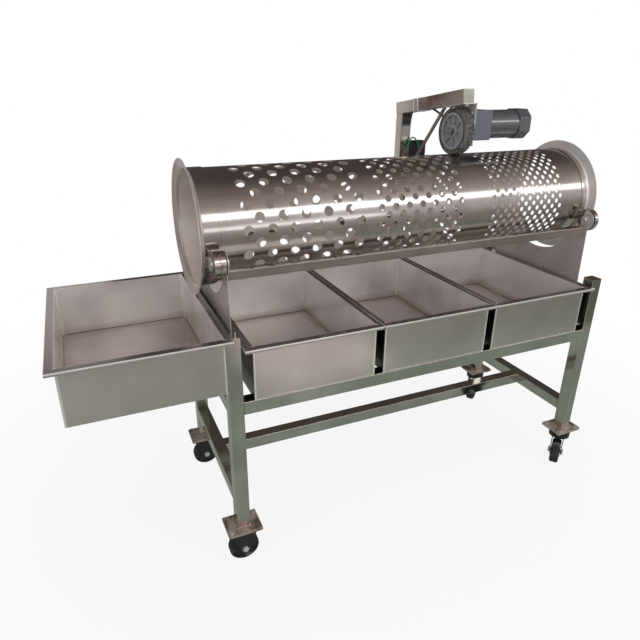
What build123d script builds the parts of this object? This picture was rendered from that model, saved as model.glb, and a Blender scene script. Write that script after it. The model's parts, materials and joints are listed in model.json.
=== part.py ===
from build123d import *
import os
from math import cos, pi, radians, sin, tan

os.makedirs("parts", exist_ok=True)

# Frame: four legs, rails under the trays and low stretchers, all one square tube
frame_length = 1312
tube = 40
tube_wall = 1.5
leg_cap = 2
leg_clearance = 27          # between the end plates' upper edges and the legs
outlet_step = 32            # left legs' tops above the trays' rims
right_leg_cut = 10          # right legs' tops below the left ones
tray_rail_height = 388      # underside of the tray rails above the leg bottoms
stretcher_height = 82       # underside of the stretchers above the leg bottoms

# Casters: rigid ones at the left, swivelling ones at the right
wheel_diameter = 92
wheel_headroom = 32         # wheel to the top of the caster plates
wheel_width = 32
wheel_hub_diameter = 40
wheel_dish = 4
wheel_shoulder = 6
plate_reach_along = 32      # caster plates past the legs' sides, along the machine
plate_reach_across = 22     # and across it
caster_plate_thickness = 4
foot_plate_thickness = 6
plate_bolt_inset = 12
plate_bolt_diameter = 8
plate_bolt_head = 5
fork_sheet = 3
fork_side_gap = 2
fork_top_length = 90
fork_tip_radius = 15
axle_diameter = 12
axle_head_diameter = 20
axle_head_length = 6
swivel_trail = 32
swivel_turn = 218           # direction in which the swivelling wheels trail, from +X
swivel_lift = 14            # swivelling casters taller than the rigid ones
swivel_race_diameter = 74
swivel_race_height = 21
kingpin_diameter = 12
kingpin_head_diameter = 20
kingpin_head_length = 3

# Trays: folded sheet, three in a row between the legs and one hung on the left legs
tray_sheet = 1.5
tray_rim = 21
tray_joint_rim = 13         # rims where two trays meet
tray_end_rim = 26           # rims at the two ends of the row
tray_lip = 9
tray_height = 160
tray_setback = 4            # front walls behind the legs' front faces
tray_back_setback = 5       # back walls in front of the legs' back faces
tray_gap = 2
bay_clearance = 5
outlet_length = 400
outlet_overhang = 29        # outlet tray's back wall behind the legs' back faces
outlet_side_gap = 0.5
outlet_flange = 18
outlet_tab = 38
outlet_tab_inset = 2
stud_diameter = 8
stud_length = 14
stud_offset = 30            # from the legs' left faces

# Drum: three perforated screens between plain rings, flared at both ends
drum_radius = 160
drum_sheet = 2
drum_clearance = 43         # flared rims above the leg tops
raceway_step = 2            # how far the raceways stand proud of the screens
flare_rise = 27
flare_bend = 9              # outside radius of the bend into the flare
flare_angle = 75            # flare from the drum's axis, in degrees
drive_band_width = 78
drive_shift = 4             # drive band centre to the left of the second tray joint
coarse_hole = 28
coarse_pitch = 66
coarse_margin = 77
coarse_turn = 6.5           # coarse rows round the drum from the other rows, in degrees
medium_hole = 20
medium_pitch = 46
medium_margin = 50
fine_hole = 14.5
fine_pitch = 32
fine_margin = 16
plain_end = 95              # unpunched stretch at the feed end
screen_edge = 16            # least distance from a hole's centre to a screen's end

# Cradle: end plates with round ears, rails between them and rollers outside them
end_plate_sheet = 2
left_plate_inset = 31
right_plate_inset = 38
plate_foot = 30
plate_margin = 14           # upper front edge of a plate in front of the roller axis
plate_spread = 8            # how much further out its foot reaches
ear_radius = 33
notch_gap = 26              # between the raceways and the plates' notches
cradle_tube = 25
cradle_setback = 3          # rail behind the plates' front edges
cradle_drop = 21            # rail top below the roller axes
roller_radius = 36
bearing_width = 15
roller_bore_radius = 13
roller_groove = 2
roller_groove_depth = 5
roller_plate_gap = 4
left_flare_gap = 8          # between a roller and the start of the flare
right_flare_gap = 1
cradle_angle = 15           # rollers below the drum axis, in degrees
rolling_gap = 0.3
running_clearance = 0.05
roller_shank_radius = 6
roller_collar_radius = 17
roller_cap_length = 5
nut_radius = 10
nut_length = 8
hole_clearance = 0.2

# Drive: friction wheel on a gear motor hung from a braced arm
drive_wheel_radius = 70
drive_wheel_width = 36
drive_hub_radius = 56
drive_hub_web = 14
drive_hub_boss_radius = 20
drive_hub_lip = 6
drive_shaft_radius = 9
gearbox_size = 90
gearbox_length = 70
gearbox_offset = 18         # gearbox centre above its output shaft
gearbox_round = 5
gearbox_bolt_spread = 37    # bolts from the gearbox centre, each way
gearbox_bolt_radius = 3
gearbox_bolt_head_radius = 5.5
gearbox_bolt_head = 4
arm_bolt_spread = 38        # bracket's arm bolts from the drum axis, along the arm
motor_radius = 44
motor_length = 115
fan_cover_size = 92
fan_cover_corner = 24
fan_cover_length = 47
fan_cover_round = 3
bracket_sheet = 4
bracket_width = 104
bracket_drop = 42           # bracket below the drive wheel's axis
bracket_wheel_gap = 8
bracket_shaft_gap = 4
arm_wheel_gap = 9           # arm underside above the wheel, at the drum axis
arm_reach = 48              # arm end in front of the drum axis
arm_tilt = 7.5
post_clearance = 4          # between the trays' back rims and the post
packer_length = 70
brace_width = 12
brace_sheet = 5
brace_run = 225             # brace along Y, measured from the post
brace_drop = 236
box_length = 72
box_depth = 40
box_height = 90
box_drop = 97               # top of the junction box below the post's top
box_round = 4
cable_radius = 3.5
cable_gap = 0.5
gland_radius = 7
gland_length = 12
earth_radius = 2.5

# Sizes that follow from the ones above
screen_inner = drum_radius - drum_sheet
raceway_radius = drum_radius + raceway_step
flare_radius = drum_radius + flare_rise
left_roller = 2 * bearing_width
right_roller = bearing_width
roller_reach = raceway_radius + roller_radius + rolling_gap
roller_offset = roller_reach * cos(radians(cradle_angle))
frame_width = 2 * (roller_offset + plate_margin + leg_clearance + tube)
tray_depth = frame_width - tray_setback - tray_back_setback
outlet_depth = frame_width - tray_setback + outlet_overhang
post_gap = tray_rim - tray_back_setback + post_clearance
caster_height = wheel_diameter + wheel_headroom
caster_plate_length = tube + 2 * plate_reach_along
caster_plate_width = tube + 2 * plate_reach_across

# Levels and lines that the pieces share, with the floor at zero
trail_x = cos(radians(swivel_turn))
trail_y = sin(radians(swivel_turn))
swivel_reach = (
    (wheel_diameter / 2 - wheel_shoulder + swivel_trail) * abs(trail_y)
    + (wheel_width / 2 - wheel_shoulder) * abs(trail_x)
    + wheel_shoulder
)
reach_left = outlet_length + tray_rim + outlet_side_gap
reach_right = plate_reach_along
reach_front = max(caster_plate_width / 2, swivel_reach) - tube / 2
reach_back = post_gap + tube + tube * sin(radians(arm_tilt))
left = (reach_left - frame_length - reach_right) / 2
right = left + frame_length
front = (reach_front - frame_width - reach_back) / 2
back = front + frame_width
leg_bottom = caster_height + foot_plate_thickness
rail_bottom = leg_bottom + tray_rail_height
rail_top = rail_bottom + tube
leg_top = rail_top + tray_height + outlet_step
stretcher_middle_height = leg_bottom + stretcher_height + tube / 2
leg_lines_x = (left + tube / 2, right - tube / 2)
leg_lines_y = (front + tube / 2, back - tube / 2)
stud_x = left + stud_offset

drum_y = (front + back) / 2
drum_z = leg_top + drum_clearance + flare_radius
drum_axis = Axis((0, drum_y, drum_z), (1, 0, 0))
left_plate = left + left_plate_inset
right_plate = right - right_plate_inset
drum_left = left_plate - roller_plate_gap - left_roller - left_flare_gap
drum_right = right_plate + roller_plate_gap + right_roller + right_flare_gap

roller_z = drum_z - roller_reach * sin(radians(cradle_angle))
roller_lines = (drum_y - roller_offset, drum_y + roller_offset)
plate_front = roller_lines[0] - plate_margin
plate_back = roller_lines[1] + plate_margin

bay_left = max(left + tube, left_plate + end_plate_sheet) + bay_clearance
bay_right = min(right - tube, right_plate - end_plate_sheet) - bay_clearance
row_rims = 2 * tray_end_rim + 4 * tray_joint_rim
tray_length = (bay_right - bay_left - row_rims - 2 * tray_gap) / 3
tray_pitch = tray_length + 2 * tray_joint_rim + tray_gap
first_tray = bay_left + tray_end_rim + tray_length / 2
first_joint = first_tray + tray_pitch / 2
second_joint = first_joint + tray_pitch
band_left = second_joint - drive_shift - drive_band_width / 2
band_right = band_left + drive_band_width

drive_x = (band_left + band_right) / 2
drive_z = drum_z + drum_radius + rolling_gap + drive_wheel_radius
wheel_left = drive_x - drive_wheel_width / 2
wheel_right = drive_x + drive_wheel_width / 2
bracket_left = wheel_right + bracket_wheel_gap
gearbox_left = bracket_left + bracket_sheet
gearbox_z = drive_z + gearbox_offset
motor_left = gearbox_left + gearbox_length
fan_left = motor_left + motor_length
gland_x = motor_left + 2 * gland_radius
post_front = back + post_gap
post_back = post_front + tube
arm_front = drum_y - arm_reach
arm_slope = tan(radians(arm_tilt))
arm_length = (post_back - arm_front) / cos(radians(arm_tilt))
arm_right = drive_x + tube / 2
underside_at_drum = drive_z + drive_wheel_radius + arm_wheel_gap
underside_at_post = underside_at_drum - arm_slope * (post_front - drum_y)
arm_run = Vector(0, cos(radians(arm_tilt)), -sin(radians(arm_tilt)))
arm_up = Vector(0, sin(radians(arm_tilt)), cos(radians(arm_tilt)))
arm_underside = Plane(origin=(drive_x, drum_y, underside_at_drum), x_dir=(1, 0, 0), z_dir=arm_up)


def facing_x(x, y, z):
    """A plane across X, with its own x along Y and its own y upwards."""
    return Plane(origin=(x, y, z), x_dir=(0, 1, 0), z_dir=(1, 0, 0))


def facing_front(x, y, z):
    """A plane across Y that faces the front, with its own x along X and its own y upwards."""
    return Plane(origin=(x, y, z), x_dir=(1, 0, 0), z_dir=(0, -1, 0))


def level(x, y, z):
    """A level plane, with its own x and y along X and Y."""
    return Plane(origin=(x, y, z))


def save(piece, label):
    """Names a finished piece and writes it."""
    piece.part.label = label
    export_step(piece.part, f"parts/{label}.step")


def square_tube(label, plane, length, size):
    """A square tube that starts on a plane and runs along the plane's normal."""
    with BuildPart() as piece:
        with BuildSketch(plane):
            Rectangle(size, size)
            Rectangle(size - 2 * tube_wall, size - 2 * tube_wall, mode=Mode.SUBTRACT)
        extrude(amount=length)
    save(piece, label)


# Legs: tubes with a welded cap on top, and a stud on the left ones for the outlet tray
def leg(label, x, y, bottom, top, studded):
    """A leg on the line x, y; a studded one has a pin welded on its cap."""
    with BuildPart() as piece:
        with BuildSketch(level(x, y, bottom)):
            Rectangle(tube, tube)
        extrude(amount=top - bottom)
        with BuildSketch(level(x, y, bottom)):
            Rectangle(tube - 2 * tube_wall, tube - 2 * tube_wall)
        extrude(amount=top - bottom - leg_cap, mode=Mode.SUBTRACT)
        if studded:
            with BuildSketch(level(stud_x, y, leg_top)):
                Circle(stud_diameter / 2)
            extrude(amount=stud_length)
    save(piece, label)


for row, y in zip(("front", "back"), leg_lines_y):
    leg(f"leg_{row}_left", leg_lines_x[0], y, leg_bottom, leg_top, True)
    leg(f"leg_{row}_right", leg_lines_x[1], y, leg_bottom + swivel_lift, leg_top - right_leg_cut, False)

# Tray rails and low stretchers: tubes welded between the legs
long_run = frame_length - 2 * tube
cross_run = frame_width - 2 * tube
rail_z = rail_bottom + tube / 2
for row, y in zip(("front", "back"), leg_lines_y):
    square_tube(f"tray_rail_{row}", facing_x(left + tube, y, rail_z), long_run, tube)
for side, x in zip(("left", "right"), leg_lines_x):
    square_tube(f"tray_rail_{side}", facing_front(x, back - tube, rail_z), cross_run, tube)
    square_tube(f"stretcher_{side}", facing_front(x, back - tube, stretcher_middle_height), cross_run, tube)
square_tube("stretcher_middle", facing_x(left + tube, drum_y, stretcher_middle_height), long_run, tube)

# Foot plates under the legs and caster plates bolted to them at four corners
lifts = (0, swivel_lift)
corners = [(x, y, lift) for x, lift in zip(leg_lines_x, lifts) for y in leg_lines_y]
bolt_span_x = caster_plate_length - 2 * plate_bolt_inset
bolt_span_y = caster_plate_width - 2 * plate_bolt_inset
bolt_hole_radius = plate_bolt_diameter / 2 + hole_clearance
plate_bottom = caster_height - caster_plate_thickness

with BuildPart() as foot_plates:
    for x, y, lift in corners:
        with BuildSketch(level(x, y, caster_height + lift)):
            Rectangle(caster_plate_length, caster_plate_width)
            with GridLocations(bolt_span_x, bolt_span_y, 2, 2):
                Circle(bolt_hole_radius, mode=Mode.SUBTRACT)
        extrude(amount=foot_plate_thickness)
save(foot_plates, "foot_plates")

race_bottom = plate_bottom + swivel_lift - swivel_race_height
crown_top = race_bottom
crown_bottom = crown_top - fork_sheet
kingpin_head_top = crown_bottom - rolling_gap
with BuildPart() as caster_plates:
    for x, y, lift in corners:
        with BuildSketch(level(x, y, plate_bottom + lift)):
            Rectangle(caster_plate_length, caster_plate_width)
            with GridLocations(bolt_span_x, bolt_span_y, 2, 2):
                Circle(bolt_hole_radius, mode=Mode.SUBTRACT)
        extrude(amount=caster_plate_thickness)
    for y in leg_lines_y:
        with BuildSketch(level(leg_lines_x[1], y, race_bottom)):
            Circle(swivel_race_diameter / 2)
        extrude(amount=swivel_race_height)
        with BuildSketch(level(leg_lines_x[1], y, kingpin_head_top)):
            Circle(kingpin_diameter / 2)
        extrude(amount=race_bottom - kingpin_head_top)
        with BuildSketch(level(leg_lines_x[1], y, kingpin_head_top - kingpin_head_length)):
            Circle(kingpin_head_diameter / 2)
        extrude(amount=kingpin_head_length)
save(caster_plates, "caster_plates")

with BuildPart() as caster_bolts:
    for x, y, lift in corners:
        with BuildSketch(level(x, y, plate_bottom + lift)):
            with GridLocations(bolt_span_x, bolt_span_y, 2, 2):
                Circle(plate_bolt_diameter / 2)
        extrude(amount=caster_plate_thickness + foot_plate_thickness)
        with BuildSketch(level(x, y, leg_bottom + lift)):
            with GridLocations(bolt_span_x, bolt_span_y, 2, 2):
                RegularPolygon(plate_bolt_diameter, 6)
        extrude(amount=plate_bolt_head)
        with BuildSketch(level(x, y, plate_bottom + lift - plate_bolt_head)):
            with GridLocations(bolt_span_x, bolt_span_y, 2, 2):
                RegularPolygon(plate_bolt_diameter, 6)
        extrude(amount=plate_bolt_head)
save(caster_bolts, "caster_bolts")

# Caster forks: two tapered cheeks under a crown, with an axle across them
axle_z = wheel_diameter / 2
fork_inner = wheel_width / 2 + fork_side_gap
fork_outer = fork_inner + fork_sheet
axle_hole_radius = axle_diameter / 2 + hole_clearance


def fork(plane, top, tip, crown_width):
    """Two cheeks and their crown; the plane stands on the floor in the wheel's middle."""
    with BuildPart() as piece:
        with BuildSketch(plane):
            with BuildLine():
                Polyline(
                    (tip - fork_tip_radius, axle_z),
                    (-crown_width / 2, top - fork_sheet),
                    (-crown_width / 2, top),
                    (crown_width / 2, top),
                    (crown_width / 2, top - fork_sheet),
                    (tip + fork_tip_radius, axle_z),
                )
                ThreePointArc(
                    (tip + fork_tip_radius, axle_z),
                    (tip, axle_z - fork_tip_radius),
                    (tip - fork_tip_radius, axle_z),
                )
            make_face()
            with Locations((tip, axle_z)):
                Circle(axle_hole_radius, mode=Mode.SUBTRACT)
        extrude(amount=fork_outer, both=True)
        with BuildSketch(plane):
            with Locations((0, (top - fork_sheet) / 2)):
                Rectangle(2 * crown_width + 2 * swivel_trail, top - fork_sheet)
        extrude(amount=fork_inner, both=True, mode=Mode.SUBTRACT)
    return piece.part


def axle(plane, tip):
    """A bolted axle across a fork, with a head at each end."""
    with BuildPart() as piece:
        with BuildSketch(plane):
            with Locations((tip, axle_z)):
                Circle(axle_diameter / 2)
        extrude(amount=fork_outer, both=True)
        for face in (-fork_outer - axle_head_length, fork_outer):
            with BuildSketch(plane.offset(face)):
                with Locations((tip, axle_z)):
                    RegularPolygon(axle_head_diameter / 2, 6)
            extrude(amount=axle_head_length)
    return piece.part


def caster_wheel(label, plane, tip):
    """A solid wheel with a rounded tread, dished sides and a running bore."""
    middle = plane.from_local_coords(Vector(tip, axle_z, 0))
    hub = Plane(origin=middle, x_dir=plane.z_dir, z_dir=plane.x_dir)
    rim = wheel_diameter / 2
    bore = axle_diameter / 2 + running_clearance
    dish_low = wheel_hub_diameter / 2
    dish_high = rim - 2 * wheel_shoulder
    with BuildPart() as wheel:
        with BuildSketch(hub) as section:
            with BuildLine():
                Polyline((wheel_width / 2, bore), (wheel_width / 2, rim), (-wheel_width / 2, rim),
                         (-wheel_width / 2, bore), close=True)
            make_face()
            fillet(section.vertices().group_by(Axis((0, 0, 0), (0, 1, 0)))[-1], wheel_shoulder)
            for side in (-1, 1):
                with Locations((side * (wheel_width - wheel_dish) / 2, (dish_low + dish_high) / 2)):
                    Rectangle(wheel_dish, dish_high - dish_low, mode=Mode.SUBTRACT)
        revolve(axis=Axis(hub.origin, plane.z_dir))
    save(wheel, label)


rigid_planes = [facing_front(leg_lines_x[0], y, 0) for y in leg_lines_y]
rigid_fork_pair = [fork(plane, plate_bottom, 0, fork_top_length) for plane in rigid_planes]
rigid_axle_pair = [axle(plane, 0) for plane in rigid_planes]
with BuildPart() as rigid_forks:
    add(rigid_fork_pair)
save(rigid_forks, "rigid_forks")
with BuildPart() as rigid_axles:
    add(rigid_axle_pair)
save(rigid_axles, "rigid_axles")

trail = Vector(trail_x, trail_y, 0)
across = Vector(trail_y, -trail_x, 0)
for row, y in zip(("front", "back"), leg_lines_y):
    caster_wheel(f"caster_wheel_{row}_left", facing_front(leg_lines_x[0], y, 0), 0)
    plane = Plane(origin=(leg_lines_x[1], y, 0), x_dir=trail, z_dir=across)
    caster_wheel(f"caster_wheel_{row}_right", plane, swivel_trail)
    fork_blank = fork(plane, crown_top, swivel_trail, swivel_race_diameter)
    swivel_pin = axle(plane, swivel_trail)
    with BuildPart() as swivel_fork:
        add(fork_blank)
        with BuildSketch(level(leg_lines_x[1], y, crown_bottom)):
            Circle(kingpin_diameter / 2 + running_clearance)
        extrude(amount=fork_sheet, mode=Mode.SUBTRACT)
    save(swivel_fork, f"swivel_fork_{row}")
    with BuildPart() as swivel_axle:
        add(swivel_pin)
    save(swivel_axle, f"swivel_axle_{row}")


# Trays: a folded box with a flat rim and a turned-down lip
def tray_box(x, y, bottom, length, depth):
    """The walls and the floor of a tray."""
    with BuildPart() as box:
        with BuildSketch(level(x, y, bottom)):
            Rectangle(length, depth)
        extrude(amount=tray_height)
        with BuildSketch(level(x, y, bottom + tray_sheet)):
            Rectangle(length - 2 * tray_sheet, depth - 2 * tray_sheet)
        extrude(amount=tray_height - tray_sheet, mode=Mode.SUBTRACT)
    return box.part


tray_y = front + tray_setback + tray_depth / 2
rim_depth = tray_depth + 2 * tray_rim
left_rims = (tray_end_rim, tray_joint_rim, tray_joint_rim)
right_rims = (tray_joint_rim, tray_joint_rim, tray_end_rim)
for number, grade in enumerate(("coarse", "medium", "fine")):
    x = first_tray + number * tray_pitch
    rim_length = left_rims[number] + tray_length + right_rims[number]
    rim_middle = x + (right_rims[number] - left_rims[number]) / 2
    box = tray_box(x, tray_y, rail_top, tray_length, tray_depth)
    with BuildPart() as tray:
        add(box)
        with BuildSketch(level(rim_middle, tray_y, rail_top + tray_height - tray_sheet)):
            Rectangle(rim_length, rim_depth)
            with Locations((x - rim_middle, 0)):
                Rectangle(tray_length - 2 * tray_sheet, tray_depth - 2 * tray_sheet, mode=Mode.SUBTRACT)
        extrude(amount=tray_sheet)
        with BuildSketch(level(rim_middle, tray_y, rail_top + tray_height - tray_lip)):
            Rectangle(rim_length, rim_depth)
            Rectangle(rim_length - 2 * tray_sheet, rim_depth - 2 * tray_sheet, mode=Mode.SUBTRACT)
        extrude(amount=tray_lip)
    save(tray, f"tray_{grade}")

# Outlet tray: its right rim lies on the left legs, with a tab over a stud on each leg
outlet_right = left - outlet_side_gap
outlet_x = outlet_right - outlet_length / 2
outlet_y = front + tray_setback + outlet_depth / 2
outlet_bottom = leg_top + tray_sheet - tray_height
rim_left = outlet_right - outlet_length - tray_rim
rim_right = left + outlet_flange
rim_x = (rim_left + rim_right) / 2
tab_width = tube - 2 * outlet_tab_inset
outlet_box = tray_box(outlet_x, outlet_y, outlet_bottom, outlet_length, outlet_depth)
with BuildPart() as outlet_tray:
    add(outlet_box)
    with BuildSketch(level(rim_x, outlet_y, leg_top)):
        Rectangle(rim_right - rim_left, outlet_depth + 2 * tray_rim)
        with Locations((outlet_x - rim_x, 0)):
            Rectangle(outlet_length - 2 * tray_sheet, outlet_depth - 2 * tray_sheet, mode=Mode.SUBTRACT)
    extrude(amount=tray_sheet)
    with BuildSketch(level(rim_x, outlet_y, leg_top + tray_sheet - tray_lip)):
        Rectangle(rim_right - rim_left, outlet_depth + 2 * tray_rim)
        with Locations((tray_sheet, 0)):
            lip_inside = outlet_depth + 2 * tray_rim - 2 * tray_sheet
            Rectangle(rim_right - rim_left, lip_inside, mode=Mode.SUBTRACT)
    extrude(amount=tray_lip)
    for y in leg_lines_y:
        with BuildSketch(level(left + outlet_tab / 2, y, leg_top)):
            Rectangle(outlet_tab, tab_width)
        extrude(amount=tray_sheet)
        with BuildSketch(level(stud_x, y, leg_top)):
            Circle(stud_diameter / 2 + hole_clearance)
        extrude(amount=tray_sheet, mode=Mode.SUBTRACT)
save(outlet_tray, "outlet_tray")


# End plates: sheet with a round notch for the drum, an ear for each roller and a folded foot
def end_plate(label, x, outward):
    """A plate whose outer face is at x; its foot is folded outwards."""
    middle = (plate_front + plate_back) / 2
    top_half = (plate_back - plate_front) / 2
    foot_half = top_half + plate_spread
    plate_height = roller_z - rail_top
    outline = ((-foot_half, 0), (foot_half, 0), (top_half, plate_height), (-top_half, plate_height))
    with BuildPart() as plate:
        with BuildSketch(facing_x(x, middle, rail_top)):
            with BuildLine():
                Polyline(*outline, close=True)
            make_face()
            for y in roller_lines:
                with Locations((y - middle, plate_height)):
                    Circle(ear_radius)
            with Locations((drum_y - middle, drum_z - rail_top)):
                Circle(raceway_radius + notch_gap, mode=Mode.SUBTRACT)
            for y in roller_lines:
                with Locations((y - middle, plate_height)):
                    Circle(roller_shank_radius + hole_clearance, mode=Mode.SUBTRACT)
        extrude(amount=-outward * end_plate_sheet)
        with BuildSketch(level(x + outward * (plate_foot - end_plate_sheet) / 2, middle, rail_top)):
            Rectangle(plate_foot + end_plate_sheet, 2 * foot_half)
        extrude(amount=end_plate_sheet)
    save(plate, label)


end_plate("end_plate_left", left_plate, -1)
end_plate("end_plate_right", right_plate, 1)

# Cradle rails: thin tubes between the end plates, just below the rollers
cradle_z = roller_z - cradle_drop - cradle_tube / 2
cradle_run = right_plate - left_plate - 2 * end_plate_sheet
cradle_lines = (
    plate_front + cradle_setback + cradle_tube / 2,
    plate_back - cradle_setback - cradle_tube / 2,
)
for row, y in zip(("front", "back"), cradle_lines):
    cradle_start = facing_x(left_plate + end_plate_sheet, y, cradle_z)
    square_tube(f"cradle_rail_{row}", cradle_start, cradle_run, cradle_tube)


# Rollers: ball bearings on stub axles through the ears, in pairs at the left and single at the right
def stub_axle(x, y, width, outward):
    """A stepped axle from a nut inside the plate to a cap outside the roller."""
    inside = x - outward * end_plate_sheet
    reach = roller_plate_gap + width + rolling_gap
    steps = (
        (inside, roller_shank_radius, outward * end_plate_sheet),
        (x, roller_collar_radius, outward * (roller_plate_gap - rolling_gap)),
        (x, roller_bore_radius - running_clearance, outward * reach),
        (x + outward * reach, roller_collar_radius, outward * roller_cap_length),
    )
    with BuildPart() as piece:
        for start, radius, length in steps:
            with BuildSketch(facing_x(start, y, roller_z)):
                Circle(radius)
            extrude(amount=length)
        with BuildSketch(facing_x(inside, y, roller_z)):
            RegularPolygon(nut_radius, 6)
        extrude(amount=-outward * nut_length)
    return piece.part


def roller(label, x, y, width):
    """Bearings as one turning piece, from x towards +X, with a groove between each two."""
    with BuildPart() as piece:
        with BuildSketch(facing_x(x, y, roller_z)):
            Circle(roller_radius)
            Circle(roller_bore_radius, mode=Mode.SUBTRACT)
        extrude(amount=width)
        for number in range(1, round(width / bearing_width)):
            with BuildSketch(facing_x(x + number * bearing_width - roller_groove / 2, y, roller_z)):
                Circle(roller_radius)
                Circle(roller_radius - roller_groove_depth, mode=Mode.SUBTRACT)
            extrude(amount=roller_groove, mode=Mode.SUBTRACT)
    save(piece, label)


left_stubs = [stub_axle(left_plate, y, left_roller, -1) for y in roller_lines]
right_stubs = [stub_axle(right_plate, y, right_roller, 1) for y in roller_lines]
with BuildPart() as roller_axles:
    add(left_stubs + right_stubs)
save(roller_axles, "roller_axles")

for row, y in zip(("front", "back"), roller_lines):
    roller(f"roller_{row}_left", left_plate - roller_plate_gap - left_roller, y, left_roller)
    roller(f"roller_{row}_right", right_plate + roller_plate_gap, y, right_roller)


# Drum: rings and screens butted end to end along the axis
def drum_ring(start, end, outer):
    """A plain ring of the drum between two stations along X."""
    with BuildPart() as ring:
        with BuildSketch(facing_x(start, drum_y, drum_z)):
            Circle(outer)
            Circle(screen_inner, mode=Mode.SUBTRACT)
        extrude(amount=end - start)
    return ring


def flare(label, start, outward):
    """Sheet bent out from the drum's end to a rim; outward is the side that it opens to."""
    turn = radians(flare_angle)
    lip = (flare_rise - flare_bend * (1 - cos(turn))) / sin(turn)
    bend_middle = drum_radius + flare_bend

    def on_bend(radius, angle, run):
        x = radius * sin(angle) + run * cos(angle)
        return outward * x, bend_middle - radius * cos(angle) + run * sin(angle)

    back = flare_bend
    face = flare_bend + drum_sheet
    with BuildPart() as piece:
        with BuildSketch(facing_front(start, drum_y, drum_z)):
            with BuildLine():
                ThreePointArc(on_bend(back, 0, 0), on_bend(back, turn / 2, 0), on_bend(back, turn, 0))
                Polyline(on_bend(back, turn, 0), on_bend(back, turn, lip), on_bend(face, turn, lip),
                         on_bend(face, turn, 0))
                ThreePointArc(on_bend(face, turn, 0), on_bend(face, turn / 2, 0), on_bend(face, 0, 0))
                Line(on_bend(face, 0, 0), on_bend(back, 0, 0))
            make_face()
        revolve(axis=drum_axis)
    save(piece, label)


def punched_screen(label, start, end, hole, pitch, first, last, offset=0):
    """A screen with staggered rows of round holes from first to last along X, turned by an offset."""
    rows = 2 * round(2 * pi * drum_radius / pitch)
    spots = []
    for row in range(rows):
        turn = radians(offset) + 2 * pi * row / rows
        outwards = Vector(0, cos(turn), sin(turn))
        x = first + (row % 2) * pitch / 2
        while x <= last:
            middle = Vector(x, drum_y, drum_z) + outwards * drum_radius
            spots.append(Plane(origin=middle, x_dir=(1, 0, 0), z_dir=outwards).location)
            x += pitch
    blank = drum_ring(start, end, drum_radius)
    with BuildPart() as screen:
        add(blank.part)
        with Locations(*spots):
            Cylinder(hole / 2, 6 * drum_sheet, mode=Mode.SUBTRACT)
    save(screen, label)


flare("flare_ring_left", drum_left, -1)
flare("flare_ring_right", drum_right, 1)
save(drum_ring(drum_left, left_plate, raceway_radius), "raceway_left")
save(drum_ring(right_plate, drum_right, raceway_radius), "raceway_right")
save(drum_ring(band_left, band_right, drum_radius), "drive_band")
punched_screen("screen_coarse", left_plate, first_joint, coarse_hole, coarse_pitch,
               left_plate + coarse_margin, first_joint - screen_edge, coarse_turn)
punched_screen("screen_medium", first_joint, band_left, medium_hole, medium_pitch,
               first_joint + medium_margin, band_left - screen_edge)
punched_screen("screen_fine", band_right, right_plate, fine_hole, fine_pitch,
               band_right + fine_margin, right_plate - plain_end)

# Drive wheel: a rubber tyre on a dished hub, keyed to the gear motor's shaft
with BuildPart() as drive_tyre:
    with BuildSketch(facing_x(wheel_left, drum_y, drive_z)):
        Circle(drive_wheel_radius)
        Circle(drive_hub_radius, mode=Mode.SUBTRACT)
    extrude(amount=drive_wheel_width)
save(drive_tyre, "drive_tyre")

with BuildPart() as drive_hub:
    with BuildSketch(facing_x(wheel_left, drum_y, drive_z)):
        Circle(drive_hub_radius)
        Circle(drive_hub_radius - drive_hub_lip, mode=Mode.SUBTRACT)
        Circle(drive_hub_boss_radius)
    extrude(amount=drive_wheel_width)
    with BuildSketch(facing_x(drive_x - drive_hub_web / 2, drum_y, drive_z)):
        Circle(drive_hub_radius)
    extrude(amount=drive_hub_web)
    with BuildSketch(facing_x(wheel_left, drum_y, drive_z)):
        Circle(drive_shaft_radius + hole_clearance)
    extrude(amount=drive_wheel_width, mode=Mode.SUBTRACT)
save(drive_hub, "drive_hub")

with BuildPart() as drive_shaft:
    with BuildSketch(facing_x(wheel_left, drum_y, drive_z)):
        Circle(drive_shaft_radius)
    extrude(amount=gearbox_left - wheel_left - rolling_gap)
    with BuildSketch(facing_x(wheel_left - nut_length, drum_y, drive_z)):
        RegularPolygon(drive_shaft_radius + nut_length / 2, 6)
    extrude(amount=nut_length)
save(drive_shaft, "drive_shaft")

# Gear motor: square gearbox, round motor and a fan cover with cut corners
with BuildPart() as gearbox:
    with BuildSketch(facing_x(gearbox_left, drum_y, gearbox_z)):
        RectangleRounded(gearbox_size, gearbox_size, gearbox_round)
        with GridLocations(2 * gearbox_bolt_spread, 2 * gearbox_bolt_spread, 2, 2):
            Circle(gearbox_bolt_radius + hole_clearance, mode=Mode.SUBTRACT)
    extrude(amount=gearbox_length)
save(gearbox, "gearbox")

with BuildPart() as motor_body:
    with BuildSketch(facing_x(motor_left, drum_y, gearbox_z)):
        Circle(motor_radius)
    extrude(amount=motor_length)
    with BuildSketch(facing_front(gland_x, drum_y, gearbox_z)):
        Circle(gland_radius)
    extrude(amount=-motor_radius - gland_length)
save(motor_body, "motor_body")

with BuildPart() as fan_cover:
    with BuildSketch(facing_x(fan_left, drum_y, gearbox_z)) as section:
        Rectangle(fan_cover_size, fan_cover_size)
        chamfer(section.vertices(), fan_cover_corner)
    extrude(amount=fan_cover_length)
    chamfer(fan_cover.faces().sort_by(Axis.X)[-1].edges(), fan_cover_round)
save(fan_cover, "fan_cover")

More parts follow.
